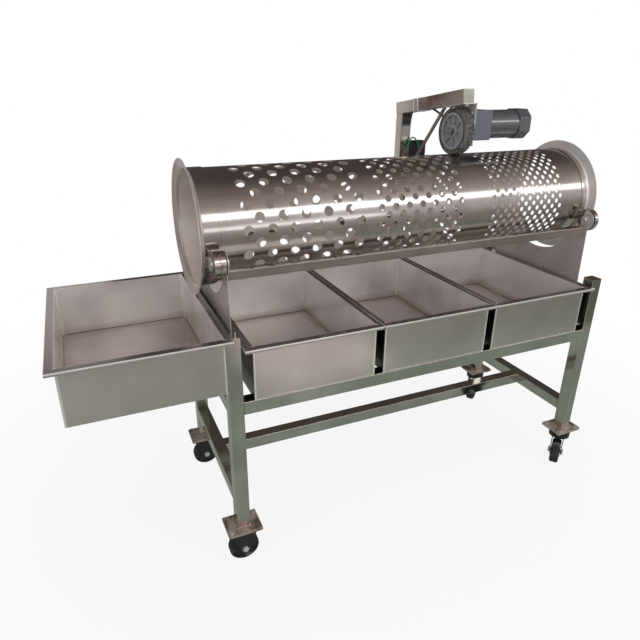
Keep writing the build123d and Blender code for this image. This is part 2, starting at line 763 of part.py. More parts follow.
# Bracket: a bent plate under the arm that carries the gearbox
bracket_bottom = drive_z - bracket_drop
with BuildPart() as motor_bracket:
    with BuildSketch(facing_x(bracket_left, drum_y, bracket_bottom)):
        with Locations((0, (underside_at_drum - bracket_bottom) / 2)):
            Rectangle(bracket_width, underside_at_drum - bracket_bottom + bracket_width)
        with Locations((0, gearbox_z - bracket_bottom)):
            with GridLocations(2 * gearbox_bolt_spread, 2 * gearbox_bolt_spread, 2, 2):
                Circle(gearbox_bolt_radius + hole_clearance, mode=Mode.SUBTRACT)
        with Locations((0, bracket_drop)):
            Circle(drive_shaft_radius + bracket_shaft_gap, mode=Mode.SUBTRACT)
    extrude(amount=bracket_sheet)
    split(bisect_by=level(0, 0, bracket_bottom), keep=Keep.TOP)
    with BuildSketch(arm_underside):
        with Locations(((gearbox_left - drive_x - tube / 2) / 2, 0)):
            Rectangle(gearbox_left - drive_x + tube / 2, bracket_width)
    extrude(amount=-bracket_sheet)
    split(bisect_by=arm_underside, keep=Keep.BOTTOM)
    with BuildSketch(arm_underside):
        with GridLocations(0, 2 * arm_bolt_spread, 1, 2):
            Circle(gearbox_bolt_radius + hole_clearance)
    extrude(amount=-bracket_sheet, mode=Mode.SUBTRACT)
save(motor_bracket, "motor_bracket")

# Arm: a tube tilted back to the post, closed at both ends
with BuildPart() as drive_arm:
    front_end = Vector(drive_x, arm_front, underside_at_drum + arm_slope * arm_reach) + arm_up * (tube / 2)
    with BuildSketch(Plane(origin=front_end, x_dir=(1, 0, 0), z_dir=arm_run)):
        Rectangle(tube, tube)
    extrude(amount=arm_length)
    with BuildSketch(Plane(origin=front_end + arm_run * leg_cap, x_dir=(1, 0, 0), z_dir=arm_run)):
        Rectangle(tube - 2 * tube_wall, tube - 2 * tube_wall)
    extrude(amount=arm_length - 2 * leg_cap, mode=Mode.SUBTRACT)
    with BuildSketch(arm_underside):
        with GridLocations(0, 2 * arm_bolt_spread, 1, 2):
            Circle(gearbox_bolt_radius + hole_clearance)
    extrude(amount=tube_wall, mode=Mode.SUBTRACT)
save(drive_arm, "drive_arm")

# Post: a tube behind the frame, cut to the arm's slope, on a packer and a tie
with BuildPart() as drive_post:
    post_middle = (post_front + post_back) / 2
    with BuildSketch(level(drive_x, post_middle, rail_bottom)):
        Rectangle(tube, tube)
        Rectangle(tube - 2 * tube_wall, tube - 2 * tube_wall, mode=Mode.SUBTRACT)
    extrude(amount=underside_at_post + tube - rail_bottom)
    split(bisect_by=arm_underside, keep=Keep.BOTTOM)
save(drive_post, "drive_post")

with BuildPart() as post_brackets:
    with BuildSketch(facing_front(drive_x, back, rail_z)):
        Rectangle(packer_length, tube)
    extrude(amount=-post_gap)
    with BuildSketch(facing_front(drive_x, cradle_lines[1] + cradle_tube / 2, cradle_z)):
        Rectangle(cradle_tube, cradle_tube)
        Rectangle(cradle_tube - 2 * tube_wall, cradle_tube - 2 * tube_wall, mode=Mode.SUBTRACT)
    extrude(amount=cradle_lines[1] + cradle_tube / 2 - post_front)
save(post_brackets, "post_brackets")

# Brace: a flat bar from the post up to the arm
with BuildPart() as arm_brace:
    brace_foot = Vector(drive_x, post_front, underside_at_post - brace_drop)
    brace_head_z = underside_at_post + arm_slope * brace_run
    brace_rise = Vector(0, -brace_run, brace_head_z - brace_foot.Z)
    brace_plane = Plane(origin=brace_foot + brace_rise * 0.5, x_dir=brace_rise, z_dir=(1, 0, 0))
    with BuildSketch(brace_plane):
        Rectangle(brace_rise.length + 4 * brace_width, brace_width)
    extrude(amount=brace_sheet / 2, both=True)
    split(bisect_by=arm_underside, keep=Keep.BOTTOM)
    split(bisect_by=facing_front(drive_x, post_front, 0), keep=Keep.TOP)
save(arm_brace, "arm_brace")

# Motor bolts: gearbox bolts through the bracket, and two that hold the bracket to the arm
with BuildPart() as motor_bolts:
    with BuildSketch(facing_x(bracket_left, drum_y, gearbox_z)):
        with GridLocations(2 * gearbox_bolt_spread, 2 * gearbox_bolt_spread, 2, 2):
            Circle(gearbox_bolt_radius)
    extrude(amount=bracket_sheet + gearbox_length / 2)
    with BuildSketch(facing_x(bracket_left - gearbox_bolt_head, drum_y, gearbox_z)):
        with GridLocations(2 * gearbox_bolt_spread, 2 * gearbox_bolt_spread, 2, 2):
            RegularPolygon(gearbox_bolt_head_radius, 6)
    extrude(amount=gearbox_bolt_head)
    with BuildSketch(arm_underside.offset(-bracket_sheet)):
        with GridLocations(0, 2 * arm_bolt_spread, 1, 2):
            Circle(gearbox_bolt_radius)
    extrude(amount=bracket_sheet + tube / 2)
    with BuildSketch(arm_underside.offset(-bracket_sheet - gearbox_bolt_head)):
        with GridLocations(0, 2 * arm_bolt_spread, 1, 2):
            RegularPolygon(gearbox_bolt_head_radius, 6)
    extrude(amount=gearbox_bolt_head)
save(motor_bolts, "motor_bolts")

# Junction box on the post's right face, with the motor's cable and an earth lead
box_top = underside_at_post - box_drop
box_middle = arm_right + box_length / 2
with BuildPart() as junction_box:
    with BuildSketch(level(box_middle, post_middle, box_top - box_height)):
        RectangleRounded(box_length, box_depth, box_round)
    extrude(amount=box_height)
save(junction_box, "junction_box")

cable_x = arm_right + cable_radius + cable_gap
gland_end = drum_y + motor_radius + gland_length
cable_points = [
    (gland_x, gland_end, gearbox_z),
    (gland_x, gland_end + 45, gearbox_z),
    (gland_x - 45, gland_end + 78, gearbox_z + 4),
    (cable_x + 12, gland_end + 112, gearbox_z + 36),
    (cable_x + 2, gland_end + 150, gearbox_z + 51),
    (cable_x + 2, post_middle - 61, gearbox_z + 45),
    (cable_x + 2, post_middle, gearbox_z + 36),
    (cable_x + 2, post_middle, box_top),
]


def bend_radii(points):
    """The largest arc that each corner's two runs leave room for."""
    radii = []
    for before, at, after in zip(points, points[1:], points[2:]):
        run_in = Vector(at) - Vector(before)
        run_out = Vector(after) - Vector(at)
        turn = radians(run_in.get_angle(run_out))
        radii.append(0.45 * min(run_in.length, run_out.length) / tan(turn / 2))
    return radii


def lead(label, points, radius):
    """A round lead along straight runs joined by arcs."""
    radii = bend_radii(points)
    print(label, "bend radii", [round(r, 1) for r in radii])
    with BuildPart() as piece:
        with BuildLine() as route:
            FilletPolyline(*points, radius=radii)
        with BuildSketch(Plane(origin=route.line @ 0, z_dir=route.line % 0)):
            Circle(radius)
        sweep()
    tube_volume = pi * radius ** 2 * route.wire().length
    print(label, "volume over section times length", round(piece.part.volume / tube_volume, 4))
    save(piece, label)


lead("motor_cable", cable_points, cable_radius)
earth_y = post_front - earth_radius - cable_gap
earth_points = [
    (drive_x + 8, earth_y, box_top - 24),
    (drive_x + 10, earth_y - 3, box_top - 8),
    (drive_x + 18, earth_y - 6, box_top + 14),
    (drive_x + 34, earth_y - 6, box_top + 14),
    (drive_x + 52, earth_y - 3, box_top - 8),
    (drive_x + 56, earth_y, box_top - 24),
]
lead("earth_lead", earth_points, earth_radius)
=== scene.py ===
import json
import math

import bpy
from mathutils import Matrix, Vector


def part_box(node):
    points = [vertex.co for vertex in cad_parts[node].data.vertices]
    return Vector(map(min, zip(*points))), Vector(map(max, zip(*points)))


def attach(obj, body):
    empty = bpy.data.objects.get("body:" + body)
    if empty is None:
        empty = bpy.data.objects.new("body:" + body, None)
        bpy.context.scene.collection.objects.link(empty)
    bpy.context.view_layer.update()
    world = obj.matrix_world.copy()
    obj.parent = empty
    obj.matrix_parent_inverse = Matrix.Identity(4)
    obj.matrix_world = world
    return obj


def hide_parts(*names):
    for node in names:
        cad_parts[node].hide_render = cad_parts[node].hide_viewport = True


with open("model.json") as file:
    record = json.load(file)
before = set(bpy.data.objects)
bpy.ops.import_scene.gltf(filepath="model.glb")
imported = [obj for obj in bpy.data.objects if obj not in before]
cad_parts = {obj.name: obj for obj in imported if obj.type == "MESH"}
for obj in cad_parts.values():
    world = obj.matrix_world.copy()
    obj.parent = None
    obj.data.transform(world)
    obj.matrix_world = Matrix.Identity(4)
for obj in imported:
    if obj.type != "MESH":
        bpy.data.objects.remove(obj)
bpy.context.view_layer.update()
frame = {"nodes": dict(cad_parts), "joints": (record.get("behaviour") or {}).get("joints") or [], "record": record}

# The studio: a pale floor under a white sky, with broad soft lamps overhead and in front and a
# smaller one at the left. A round tent and some cards that only metal sees give it a workshop to
# reflect: a dark roof and back, a grey front with bright windows, and a greenish floor.


class Wire:
    """One output of a shader node; arithmetic on wires adds Math nodes to the same tree."""

    def __init__(self, socket):
        self.socket = socket

    def node(self, kind, settings, sockets, output=0):
        """Adds a node, sets it up, joins its sockets and returns one of its outputs."""
        tree = self.socket.id_data
        made = tree.nodes.new("ShaderNode" + kind)
        for key, value in settings.items():
            if key == "stops":
                band = made.color_ramp.elements
                while len(band) < len(value):
                    band.new(1.0)
                for element, (position, colour) in zip(band, value):
                    element.position = position
                    element.color = colour
            else:
                setattr(made, key, value)
        for key, value in sockets.items():
            if isinstance(value, Wire):
                tree.links.new(value.socket, made.inputs[key])
            else:
                made.inputs[key].default_value = value
        return Wire(made.outputs[output])

    def into(self, shader, socket):
        """Joins this output to a shader's socket."""
        self.socket.id_data.links.new(self.socket, shader.inputs[socket])

    def reckon(self, operation, *values):
        """A Math node on some values."""
        return self.node("Math", {"operation": operation}, dict(enumerate(values)))

    def __add__(self, other):
        return self.reckon("ADD", self, other)

    def __sub__(self, other):
        return self.reckon("SUBTRACT", self, other)

    def __rsub__(self, other):
        return self.reckon("SUBTRACT", other, self)

    def __mul__(self, other):
        return self.reckon("MULTIPLY", self, other)

    def __abs__(self):
        return self.reckon("ABSOLUTE", self)

    __radd__ = __add__
    __rmul__ = __mul__


def shade(red, green, blue):
    """A colour from its 0 to 255 screen values."""
    return tuple((value / 255) ** 2.2 for value in (red, green, blue)) + (1.0,)


def surface(name, plain):
    """A new material with its plain values set; returns it with its shader and its coordinates."""
    material = bpy.data.materials.new(name)
    material.use_nodes = True
    nodes = material.node_tree.nodes
    shader = nodes["Principled BSDF"]
    for socket, value in plain.items():
        shader.inputs[socket].default_value = value
    return material, shader, Wire(nodes.new("ShaderNodeTexCoord").outputs["Object"])


def axes_of(place):
    """The x, y and z of a place."""
    split = place.node("SeparateXYZ", {}, {"Vector": place}).socket.node
    return [Wire(output) for output in split.outputs]


def noise(place, scale, detail):
    return place.node("TexNoise", {}, {"Vector": place, "Scale": scale, "Detail": detail})


def colours_along(value, stops):
    """A colour that follows a value, through stops of that value and its screen colour."""
    start = stops[0][0]
    run = stops[-1][0] - start
    band = [((spot - start) / run, shade(*colour)) for spot, colour in stops]
    return value.node("ValToRGB", {"stops": band}, {"Fac": (value - start) * (1 / run)})


def dress(piece, material):
    """Gives a piece one material all over."""
    piece.data.materials.clear()
    piece.data.materials.append(material)


def only_metal_sees(piece):
    """Marks a piece of the studio that shows in reflections and nowhere else."""
    piece.visible_camera = False
    piece.visible_diffuse = False
    piece.visible_transmission = False
    piece.visible_shadow = False


white = (1, 1, 1, 1)
black = (0, 0, 0, 1)
glowing = {"Base Color": black, "Specular IOR Level": 0.0, "Emission Strength": 1.0}


def card(name, middle, size, turn, colour=black):
    """A flat card that shows in reflections; returns its shader and coordinates."""
    bpy.ops.object.select_all(action="DESELECT")
    bpy.ops.mesh.primitive_plane_add(size=1, location=middle, rotation=turn)
    piece = bpy.context.active_object
    piece.name = name
    piece.scale = (size[0], size[1], 1)
    bpy.ops.object.transform_apply(location=True, rotation=True, scale=True)
    material, shader, place = surface(name, {**glowing, "Emission Color": colour})
    dress(piece, material)
    only_metal_sees(piece)
    return shader, place


sky_light = 0.42
world = bpy.data.worlds.new("white_sky")
bpy.context.scene.world = world
world.use_nodes = True
light_path = world.node_tree.nodes.new("ShaderNodeLightPath")
seen = Wire(light_path.outputs["Is Camera Ray"])
for ray in ("Is Glossy Ray", "Is Transmission Ray"):
    seen = seen.reckon("MAXIMUM", seen, Wire(light_path.outputs[ray]))
background = world.node_tree.nodes["Background"]
background.inputs["Color"].default_value = white
(sky_light + seen * (1 - sky_light)).into(background, "Strength")

floor_size = 60
fade_start, fade_end = 0.6, 2.4
nearest_white = 0.88
bpy.ops.object.select_all(action="DESELECT")
bpy.ops.mesh.primitive_plane_add(size=floor_size, location=(0, 0, 0))
floor = bpy.context.active_object
floor.name = "floor"
floor_paint, shader, place = surface("floor_paint", {"Base Color": (0.6, 0.6, 0.6, 1), "Roughness": 0.9})
away = place.node("VectorMath", {"operation": "LENGTH"}, {0: place}, "Value")
fade = away.node(
    "MapRange",
    {"interpolation_type": "SMOOTHSTEP"},
    {"Value": away, "From Min": fade_start, "From Max": fade_end, "To Min": nearest_white, "To Max": 1.0},
)
glow = place.node("Emission", {}, {"Color": white, "Strength": 1.0})
whitened = fade * place.node("LightPath", {}, {}, "Is Camera Ray")
shown = place.node("MixShader", {}, {0: whitened, 1: Wire(shader.outputs[0]), 2: glow})
shown.into(floor_paint.node_tree.nodes["Material Output"], "Surface")
dress(floor, floor_paint)

drum_low, drum_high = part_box("screen_coarse")
drum_middle = (drum_low + drum_high) / 2
bpy.ops.object.select_all(action="DESELECT")
bpy.ops.mesh.primitive_cylinder_add(
    vertices=96,
    radius=3.2,
    depth=12,
    location=(0.4, drum_middle.y, drum_middle.z),
    rotation=(0, math.radians(90), 0),
)
tent = bpy.context.active_object
tent.name = "tent"
bpy.ops.object.transform_apply(location=True, rotation=True, scale=True)
tent_cloth, shader, place = surface("tent_cloth", glowing)
x, y, z = axes_of(place)
angle = z.reckon("ARCTAN2", z - drum_middle.z, drum_middle.y - y) * math.degrees(1)
tent_stops = (
    (-180, (77, 69, 67)),
    (-20, (77, 69, 67)),
    (-20, (128, 119, 116)),
    (-8, (152, 144, 142)),
    (4, (186, 180, 178)),
    (18, (204, 200, 199)),
    (38, (196, 187, 184)),
    (48, (172, 159, 153)),
    (58, (158, 146, 141)),
    (69, (134, 121, 116)),
    (80, (124, 112, 108)),
    (90, (104, 94, 91)),
    (102, (86, 78, 75)),
    (125, (80, 72, 69)),
)
colours_along(angle, tent_stops).into(shader, "Emission Color")
dress(tent, tent_cloth)
only_metal_sees(tent)

flat = (0, 0, 0)
upright = (math.radians(90), 0, 0)
leaning = (math.radians(63), 0, 0)
card_level = 0.004
card("near_floor", (0.2, 0.4, card_level), (9.0, 3.2), flat, shade(142, 152, 142))
shader, place = card("middle_floor", (0.2, -1.55, card_level), (9.0, 0.7), flat)
patches = noise(place, scale=2.2, detail=2.0)
floor_stops = (
    (-1.0, (156, 155, 150)),
    (-0.55, (150, 150, 144)),
    (-0.25, (136, 140, 131)),
    (-0.13, (138, 145, 134)),
    (-0.03, (200, 189, 185)),
    (0.6, (206, 196, 192)),
    (0.72, (130, 134, 124)),
    (1.4, (123, 126, 117)),
    (2.1, (110, 113, 104)),
)
colours_along(axes_of(place)[0] + (patches - 0.5) * 0.2, floor_stops).into(shader, "Emission Color")
card("far_floor", (0.2, -2.6, card_level), (9.0, 1.4), flat, shade(136, 127, 123))
shader, place = card("back_left", (-2.2, 2.7, 1.2), (3.2, 2.0), upright)
back_stops = (
    (-2.2, (140, 128, 124)),
    (-1.8, (158, 148, 144)),
    (-1.55, (128, 112, 108)),
    (-1.48, (92, 58, 62)),
    (-1.32, (80, 50, 54)),
    (-1.25, (196, 188, 184)),
    (-1.0, (206, 198, 194)),
)
colours_along(axes_of(place)[0], back_stops).into(shader, "Emission Color")
card("high_window", (2.0, -2.72, 2.42), (6.0, 0.66), leaning, (2.6, 2.56, 2.52, 1))
card("low_window", (0.1, -3.1, 1.27), (3.3, 0.36), upright, (1.5, 1.46, 1.44, 1))

for name, place, aim, size, power in (
    ("top_lamp", (0.1, -0.5, 3.4), (0.1, 0.0, 0.6), (4.5, 3.0), 30),
    ("front_lamp", (0.4, -3.2, 1.5), (0.2, 0.2, 0.7), (4.0, 1.2), 52),
    ("left_lamp", (-3.2, -0.8, 1.6), (-0.4, 0.0, 0.9), (1.2, 1.6), 15),
):
    lamp = bpy.data.lights.new(name, "AREA")
    lamp.shape = "RECTANGLE"
    lamp.size, lamp.size_y = size
    lamp.energy = power
    holder = bpy.data.objects.new(name, lamp)
    holder.location = place
    holder.rotation_euler = (Vector(aim) - Vector(place)).to_track_quat("-Z", "Y").to_euler()
    holder.visible_glossy = False
    bpy.context.scene.collection.objects.link(holder)

lens = bpy.data.cameras.new("camera")
lens.sensor_width = 36
lens.lens = 30.79
lens.shift_x = 0.0142
camera = bpy.data.objects.new("camera", lens)
camera.location = (-0.755, -1.5195, 1.3479)
camera.rotation_euler = [math.radians(degrees) for degrees in (66.64, -0.14, -23.14)]
bpy.context.scene.collection.objects.link(camera)
bpy.context.scene.camera = camera
bpy.context.scene.view_settings.view_transform = "Standard"

# Legs, tray rails and low stretchers: polished stainless square tube with rounded corners, butted
# and welded to each other. Polishing lines run along each tube, and the welding heat has left the
# feet of the legs pinkish.

bodies = frame["record"]["behaviour"]["bodies"]
body_of = {node: body for body, nodes in bodies.items() for node in nodes}


def stretched(place, scale):
    return place.node("Mapping", {}, {"Vector": place, "Scale": scale})


def ramp(value, low, high):
    """Goes smoothly from 0 at low to 1 at high."""
    settings = {"interpolation_type": "SMOOTHSTEP"}
    return value.node("MapRange", settings, {"Value": value, "From Min": low, "From Max": high})


def blend(factor, first, second):
    """A colour between two, all the second one where the factor is 1."""
    return factor.node("Mix", {"data_type": "RGBA"}, {0: factor, 6: first, 7: second}, 2)


def relief(height, strength, depth):
    return height.node("Bump", {}, {"Height": height, "Strength": strength, "Distance": depth})


def stand_for(piece, node):
    """The piece takes a CAD node's place on its body."""
    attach(piece, body_of[node])
    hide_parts(node)


def copy_of(node):
    """A merged copy of a CAD node, selected and in edit mode."""
    bpy.ops.object.select_all(action="DESELECT")
    piece = bpy.data.objects.new(node + "_shown", frame["nodes"][node].data.copy())
    bpy.context.scene.collection.objects.link(piece)
    bpy.context.view_layer.objects.active = piece
    piece.select_set(True)
    bpy.ops.mesh.customdata_custom_splitnormals_clear()
    bpy.ops.object.mode_set(mode="EDIT")
    bpy.ops.mesh.select_mode(type="VERT")
    bpy.ops.mesh.select_all(action="SELECT")
    bpy.ops.mesh.remove_doubles(threshold=0.000005)
    bpy.ops.mesh.dissolve_limited(angle_limit=math.radians(0.3))
    return piece


def select_edges(piece, wanted):
    """Selects the edges of the piece whose two ends pass a test, in edit mode."""
    bpy.ops.mesh.select_mode(type="EDGE")
    bpy.ops.mesh.select_all(action="DESELECT")
    bpy.ops.object.mode_set(mode="OBJECT")
    points = [vertex.co.copy() for vertex in piece.data.vertices]
    for edge in piece.data.edges:
        edge.select = wanted(points[edge.vertices[0]], points[edge.vertices[1]])
    bpy.ops.object.mode_set(mode="EDIT")


def smooth(angle):
    """Smooth shading across gentle edges, with flat faces kept flat beside their rounded edges."""
    bpy.ops.object.mode_set(mode="OBJECT")
    bpy.ops.object.shade_smooth_by_angle(angle=math.radians(angle))
    weighted = bpy.context.active_object.modifiers.new("flat", "WEIGHTED_NORMAL")
    weighted.keep_sharp = True
    weighted.weight = 100
    bpy.ops.object.modifier_apply(modifier="flat")


def rounded(node, radius):
    """A copy of a CAD node with all its sharp edges rounded."""
    piece = copy_of(node)
    bpy.ops.mesh.select_all(action="DESELECT")
    bpy.ops.mesh.select_mode(type="EDGE")
    bpy.ops.mesh.edges_select_sharp(sharpness=math.radians(40))
    bpy.ops.mesh.bevel(offset=radius, segments=2, affect="EDGES", clamp_overlap=True)
    smooth(35)
    stand_for(piece, node)
    return piece


def rounded_tube(node, size, radius):
    """A copy of a square tube with its four long outer edges rounded."""
    piece = copy_of(node)
    low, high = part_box(node)
    middle = (low + high) / 2
    outermost = size * 0.5 * math.sqrt(2) - 0.001

    def long_outer(one, two):
        run = two - one
        if run.length < 4 * size:
            return False
        off = (one + two) / 2 - middle
        return (off - off.project(run)).length > outermost

    select_edges(piece, long_outer)
    bpy.ops.mesh.bevel(offset=radius, segments=3, affect="EDGES", clamp_overlap=True)
    smooth(35)
    stand_for(piece, node)
    return piece


def tube_steel(name, lines_scale, foot):
    """Polished tube with its lines along one direction; below the foot level it is heat-tinted."""
    material, shader, place = surface(name, {"Metallic": 1.0})
    lines = noise(stretched(place, lines_scale), scale=1.0, detail=4.0)
    cloud = noise(place, scale=7.0, detail=4.0)
    spots = noise(place, scale=60.0, detail=2.0)
    tone = lines * 0.3 + cloud * 0.7
    colour = blend(ramp(tone, 0.3, 0.7), shade(182, 180, 173), shade(212, 209, 203))
    colour = blend(ramp(spots, 0.68, 0.8) * 0.3, colour, shade(130, 122, 114))
    height = axes_of(place)[2] + (cloud - 0.5) * 0.03
    tinted = 1 - ramp(height, foot, foot + 0.03)
    blend(tinted * 0.4, colour, shade(200, 176, 166)).into(shader, "Base Color")
    (0.06 + lines * 0.06 + ramp(cloud, 0.5, 0.75) * 0.1).into(shader, "Roughness")
    relief(lines, strength=0.03, depth=0.0004).into(shader, "Normal")
    return material


leg_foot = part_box("leg_front_left")[0].z
tint_rise = 0.028
across_lines, along_lines = 420, 2.5
tube_lines = {
    "X": tube_steel("tube_lines_x", (along_lines, across_lines, across_lines), leg_foot),
    "Y": tube_steel("tube_lines_y", (across_lines, along_lines, across_lines), leg_foot),
    "Z": tube_steel("tube_lines_z", (across_lines, across_lines, along_lines), leg_foot + tint_rise),
}
frame_tubes = {
    "Z": ("leg_front_left", "leg_front_right", "leg_back_left", "leg_back_right"),
    "X": ("tray_rail_front", "tray_rail_back", "stretcher_middle"),
    "Y": ("tray_rail_left", "tray_rail_right", "stretcher_left", "stretcher_right"),
}
tube_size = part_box("tray_rail_front")[1].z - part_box("tray_rail_front")[0].z
tube_corner = 0.0025
for direction, names in frame_tubes.items():
    for node in names:
        dress(rounded_tube(node, tube_size, tube_corner), tube_lines[direction])

# Foot plates, caster plates and bolts: mild steel plates welded under the legs with the casters
# bolted under them. They are bare, so they have gone brownish grey, with a little rust and a
# rough pale weld bead round each leg.


def rusty_steel(name, clean, rust_from, painted_below=0.0):
    """Bare steel with rust in patches; the right half is painted black below a given level."""
    material, shader, place = surface(name, {})
    cloud = noise(place, scale=34.0, detail=5.0)
    grit = noise(place, scale=260.0, detail=3.0)
    tone = noise(place, scale=22.0, detail=4.0)
    rust = ramp(cloud + (grit - 0.5) * 0.25, rust_from, rust_from + 0.14)
    colour = blend(ramp(tone, 0.38, 0.62), clean, shade(132, 112, 102))
    colour = blend(rust, colour, blend(grit, shade(120, 78, 50), shade(176, 122, 84)))
    x, y, z = axes_of(place)
    right_half = ramp(x, 0.4, 0.41)
    painted = right_half * (1 - ramp(z, painted_below - 0.0004, painted_below))
    blend(painted, colour, shade(34, 35, 38)).into(shader, "Base Color")
    (0.6 * (1 - rust) * (1 - painted)).into(shader, "Metallic")
    (0.36 + rust * 0.4 + grit * 0.1).into(shader, "Roughness")
    relief(grit * 0.4 + cloud, strength=0.35, depth=0.0008).into(shader, "Normal")
    return material


def block(name, size):
    """A plain block at the origin, to be shaped further."""
    bpy.ops.object.select_all(action="DESELECT")
    bpy.ops.mesh.primitive_cube_add(size=1, location=(0, 0, 0))
    piece = bpy.context.active_object
    piece.name = name
    piece.scale = size
    bpy.ops.object.transform_apply(location=True, rotation=True, scale=True)
    return piece


def select_faces(piece, wanted):
    """Selects the faces of the piece that pass a test, in edit mode."""
    bpy.ops.object.mode_set(mode="EDIT")
    bpy.ops.mesh.select_mode(type="FACE")
    bpy.ops.mesh.select_all(action="DESELECT")
    bpy.ops.object.mode_set(mode="OBJECT")
    for face in piece.data.polygons:
        face.select = wanted(face)
    bpy.ops.object.mode_set(mode="EDIT")


def bore_through():
    """Opens the two selected end faces and joins the openings by a bore."""
    bpy.ops.mesh.delete(type="ONLY_FACE")
    bpy.ops.mesh.select_mode(type="EDGE")
    bpy.ops.mesh.select_non_manifold(extend=False)
    bpy.ops.mesh.bridge_edge_loops()


def square_ring(name, size, wall, axis):
    """A block opened along one axis (0, 1 or 2), left in edit mode."""
    piece = block(name, size)
    select_faces(piece, lambda face: abs(face.normal[axis]) > 0.9)
    bpy.ops.mesh.inset(thickness=wall)
    bore_through()
    bpy.ops.mesh.select_all(action="SELECT")
    bpy.ops.mesh.normals_make_consistent(inside=False)
    return piece


bead_height = 0.0045
bead_reach = 1.11
first_bead = square_ring("first_bead", (bead_reach, bead_reach, bead_height), 0.08, 2)
select_edges(first_bead, lambda one, two: (two - one).length > 0.5 and max(abs(one.x), abs(one.y)) > 0.55)
bpy.ops.mesh.bevel(offset=0.0018, segments=2, affect="EDGES", clamp_overlap=True)
select_edges(first_bead, lambda one, two: (two - one).length > 0.5)
bpy.ops.mesh.subdivide(number_cuts=9)
bpy.ops.mesh.select_all(action="SELECT")
bpy.ops.transform.vertex_random(offset=0.0006, seed=3)
smooth(60)

bead_steel, shader, place = surface("bead_steel", {"Metallic": 0.6})
ripple = noise(place, scale=190.0, detail=3.0)
blend(ramp(ripple, 0.35, 0.7), shade(150, 132, 124), shade(222, 208, 200)).into(shader, "Base Color")
(0.3 + ripple * 0.2).into(shader, "Roughness")
relief(ripple, strength=0.5, depth=0.0012).into(shader, "Normal")

plates_thickness = 0.0102
plate_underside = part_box("leg_front_right")[0].z - plates_thickness
plate_rust = rusty_steel("plate_rust", shade(206, 192, 184), 0.58)
caster_rust = rusty_steel("caster_rust", shade(176, 160, 151), 0.6, plate_underside)
bolt_rust = rusty_steel("bolt_rust", shade(206, 200, 195), 0.64)
dress(rounded("foot_plates", radius=0.0008), plate_rust)
dress(rounded("caster_plates", radius=0.0008), caster_rust)
dress(rounded("caster_bolts", radius=0.0005), bolt_rust)
for node in frame_tubes["Z"]:
    low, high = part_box(node)
    foot = Vector(((low.x + high.x) / 2, (low.y + high.y) / 2, low.z + bead_height / 2))
    bead = bpy.data.objects.new(node + "_bead", first_bead.data.copy())
    bpy.context.scene.collection.objects.link(bead)
    bpy.ops.object.select_all(action="DESELECT")
    bead.select_set(True)
    bpy.context.view_layer.objects.active = bead
    bead.matrix_world = Matrix.Translation(foot) @ Matrix.Diagonal((tube_size, tube_size, 1, 1))
    bpy.ops.object.transform_apply(location=True, rotation=True, scale=True)
    dress(bead, bead_steel)
    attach(bead, "frame")
first_bead_mesh = first_bead.data
bpy.data.objects.remove(first_bead)
bpy.data.meshes.remove(first_bead_mesh)

# Casters: pressed forks painted black, solid black wheels with a worn grey tread, and bright
# axle bolts. The left pair is rigid; the right pair swivels under a broad pressed head.


def paint(name, colour, worn, roughness, coat=0.0):
    """Sprayed paint with faint mottling and rubbed patches; coat is the weight of its gloss coat."""
    material, shader, place = surface(name, {"Coat Weight": coat, "Coat Roughness": 0.08, "Coat IOR": 2.0})
    cloud = noise(place, scale=26.0, detail=4.0)
    grit = noise(place, scale=420.0, detail=2.0)
    rubbed = ramp(cloud + (grit - 0.5) * 0.3, 0.62, 0.78)
    lighter = tuple(part * 1.25 for part in colour[:3]) + (1.0,)
    blend(rubbed * 0.6, blend(cloud, colour, lighter), worn).into(shader, "Base Color")
    (roughness + rubbed * 0.15 + (grit - 0.5) * 0.08).into(shader, "Roughness")
    relief(grit, strength=0.12, depth=0.0004).into(shader, "Normal")
    return material


def bright_steel(name, colour):
    """Bright bolts and pins with light scratches."""
    material, shader, place = surface(name, {"Metallic": 0.5})
    cloud = noise(place, scale=90.0, detail=3.0)
    blend(ramp(cloud, 0.4, 0.7), colour, shade(158, 154, 148)).into(shader, "Base Color")
    (0.2 + cloud * 0.2).into(shader, "Roughness")
    return material


def black_rubber(name, worn):
    """Black rubber rubbed grey in patches; worn is how strongly they show."""
    material, shader, place = surface(name, {})
    cloud = noise(place, scale=40.0, detail=4.0)
    grit = noise(place, scale=500.0, detail=2.0)
    rubbed = ramp(cloud + (grit - 0.5) * 0.4, 0.6, 0.75)
    colour = blend(ramp(cloud, 0.35, 0.7), shade(26, 27, 29), shade(48, 48, 50))
    blend(rubbed * worn, colour, shade(132, 128, 122)).into(shader, "Base Color")
    (0.42 + cloud * 0.2).into(shader, "Roughness")
    relief(grit, strength=0.2, depth=0.0004).into(shader, "Normal")
    return material


